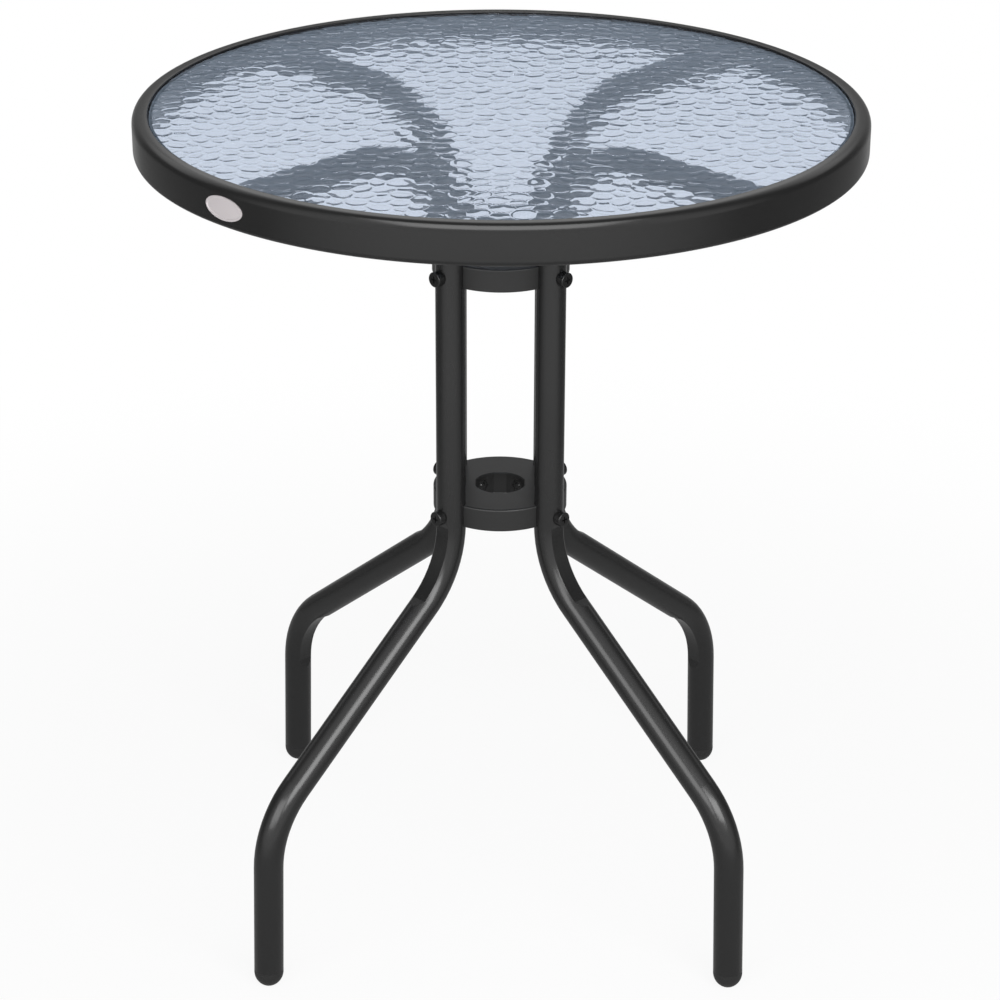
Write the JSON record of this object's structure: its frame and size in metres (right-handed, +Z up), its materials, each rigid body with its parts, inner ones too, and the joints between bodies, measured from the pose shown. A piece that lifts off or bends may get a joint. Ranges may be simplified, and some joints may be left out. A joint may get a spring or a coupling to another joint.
{
  "type": "garden table",
  "caption": "Round garden table with an obscured glass pane in a rolled steel rim, on bent tube legs bolted to an upper and a lower hub.",
  "frame": {"origin": "on the floor, under the middle of the top", "axes": "+Z up; -Y towards the viewer of the picture, +X to their right; the legs stand at 45 degrees to X and Y"},
  "size_m": [0.5999, 0.6, 0.72],
  "materials": {
    "ripple_glass": "clear toughened glass, rippled on its upper face",
    "soft_strip": "matt",
    "powder_coat": "satin charcoal powder coat",
    "plug_plastic": "matt moulded plastic",
    "hub_plastic": "satin moulded plastic",
    "black_steel": "glossy black"
  },
  "bodies": {
    "root": {"glass_top": "ripple_glass", "glazing_strip": "soft_strip", "rim": "powder_coat", "leg_front_left": "powder_coat", "leg_front_right": "powder_coat", "leg_rear_left": "powder_coat", "leg_rear_right": "powder_coat", "rim_spigot_front_left": "powder_coat", "rim_spigot_front_right": "powder_coat", "rim_spigot_rear_left": "powder_coat", "rim_spigot_rear_right": "powder_coat", "foot_plug_front_left": "plug_plastic", "foot_plug_front_right": "plug_plastic", "foot_plug_rear_left": "plug_plastic", "foot_plug_rear_right": "plug_plastic", "upper_hub": "hub_plastic", "lower_hub": "hub_plastic", "upper_hub_bolts": "black_steel", "lower_hub_bolts": "black_steel", "upper_hub_nuts": "black_steel", "lower_hub_nuts": "black_steel", "arm_screws": "black_steel"}
  },
  "joints": []
}
